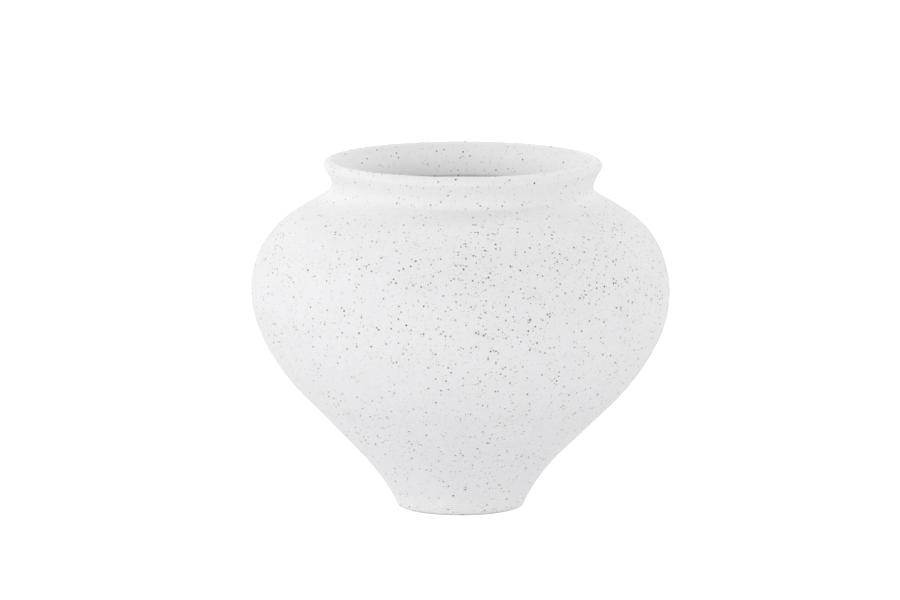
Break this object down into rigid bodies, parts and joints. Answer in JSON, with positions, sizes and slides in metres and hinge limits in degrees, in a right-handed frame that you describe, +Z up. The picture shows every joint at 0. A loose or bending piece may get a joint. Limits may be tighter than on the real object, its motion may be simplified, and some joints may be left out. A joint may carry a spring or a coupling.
{
  "type": "vase",
  "caption": "Round-bellied stoneware vase with a small foot, a short neck and a flared lip, speckled matte white, for flowers or branches.",
  "frame": {"origin": "centre of the foot's underside, on the surface that the vase stands on", "axes": "+Z up, along the vase's axis of revolution"},
  "size_m": [0.16, 0.16, 0.134],
  "materials": {
    "clay": "dry, unglazed, iron-speckled stoneware",
    "outer_glaze": "matte white with brown iron specks",
    "liner_glaze": "satin white with brown iron specks"
  },
  "bodies": {
    "root": {"clay_body": "clay", "outer_glaze": "outer_glaze", "liner_glaze": "liner_glaze"}
  },
  "joints": []
}
